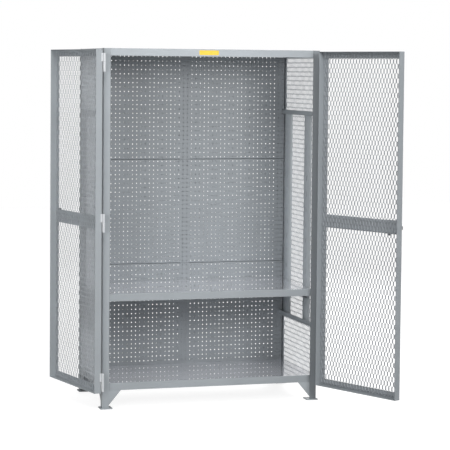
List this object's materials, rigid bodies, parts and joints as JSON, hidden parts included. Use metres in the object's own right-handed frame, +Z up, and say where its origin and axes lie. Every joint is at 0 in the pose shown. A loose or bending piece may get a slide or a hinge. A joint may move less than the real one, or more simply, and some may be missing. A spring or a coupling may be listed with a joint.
{
  "type": "tool storage locker",
  "caption": "Welded steel locker with expanded metal sides and double doors, perforated back panels, a bottom shelf and a centre shelf on slotted uprights, and a slide bolt.",
  "frame": {"origin": "the front left corner of the body on the floor, which lies on the underside of the front left foot plate", "axes": "+X to the right along the front, +Y to the back, +Z up"},
  "size_m": [1.6925, 1.2595, 1.9812],
  "materials": {
    "enamel": "semi-gloss grey enamel",
    "door_enamel": "semi-gloss grey enamel",
    "back_enamel": "semi-gloss grey enamel",
    "plated_steel": "zinc plated"
  },
  "bodies": {
    "cabinet": {"back_stiffener": "back_enamel", "bottom_shelf": "enamel", "centre_shelf": "enamel", "front_left_foot_plate": "enamel", "front_left_gusset": "enamel", "front_left_post": "enamel", "front_right_foot_plate": "enamel", "front_right_gusset": "enamel", "front_right_post": "enamel", "left_front_shelf_clip": "plated_steel", "left_front_upright": "enamel", "left_lower_crossbar": "enamel", "left_lower_hinge_body_half": "enamel", "left_middle_hinge_body_half": "enamel", "left_rear_shelf_clip": "plated_steel", "left_rear_upright": "enamel", "left_side_sheet": "enamel", "left_upper_crossbar": "enamel", "left_upper_hinge_body_half": "enamel", "lower_back_panel": "back_enamel", "middle_back_panel": "back_enamel", "rear_left_foot_plate": "enamel", "rear_left_gusset": "enamel", "rear_left_post": "enamel", "rear_right_foot_plate": "enamel", "rear_right_gusset": "enamel", "rear_right_post": "enamel", "right_front_shelf_clip": "plated_steel", "right_front_upright": "enamel", "right_lower_crossbar": "enamel", "right_lower_hinge_body_half": "enamel", "right_middle_hinge_body_half": "enamel", "right_rear_shelf_clip": "plated_steel", "right_rear_upright": "enamel", "right_side_sheet": "enamel", "right_upper_crossbar": "enamel", "right_upper_hinge_body_half": "enamel", "roof_pan": "enamel", "upper_back_panel": "back_enamel"},
    "left_door": {"bolt_keeper": "plated_steel", "left_door_bottom_rail": "door_enamel", "left_door_free_stile": "door_enamel", "left_door_hinge_stile": "door_enamel", "left_door_middle_rail": "door_enamel", "left_door_sheet": "door_enamel", "left_door_top_rail": "door_enamel", "left_lower_hinge_door_half": "enamel", "left_middle_hinge_door_half": "enamel", "left_upper_hinge_door_half": "enamel"},
    "right_door": {"bolt_guide": "plated_steel", "right_door_bottom_rail": "door_enamel", "right_door_free_stile": "door_enamel", "right_door_hinge_stile": "door_enamel", "right_door_middle_rail": "door_enamel", "right_door_sheet": "door_enamel", "right_door_top_rail": "door_enamel", "right_lower_hinge_door_half": "enamel", "right_middle_hinge_door_half": "enamel", "right_upper_hinge_door_half": "enamel"},
    "slide_bolt": {"slide_bolt": "plated_steel"}
  },
  "joints": [
    {"name": "left_door_swing", "type": "hinge", "parent": "cabinet", "child": "left_door", "pos_m": [-0.0079, -0.0492, 0.9906], "axis": [0, 0, -1], "range_deg": [-258, 7]},
    {"name": "right_door_swing", "type": "hinge", "parent": "cabinet", "child": "right_door", "pos_m": [1.2525, -0.0492, 0.9906], "axis": [0, 0, 1], "range_deg": [-114, 151]},
    {"name": "bolt_slide", "type": "slide", "parent": "right_door", "child": "slide_bolt", "axis": [0.4067, -0.9135, 0], "range_m": [0, 0.03]}
  ]
}
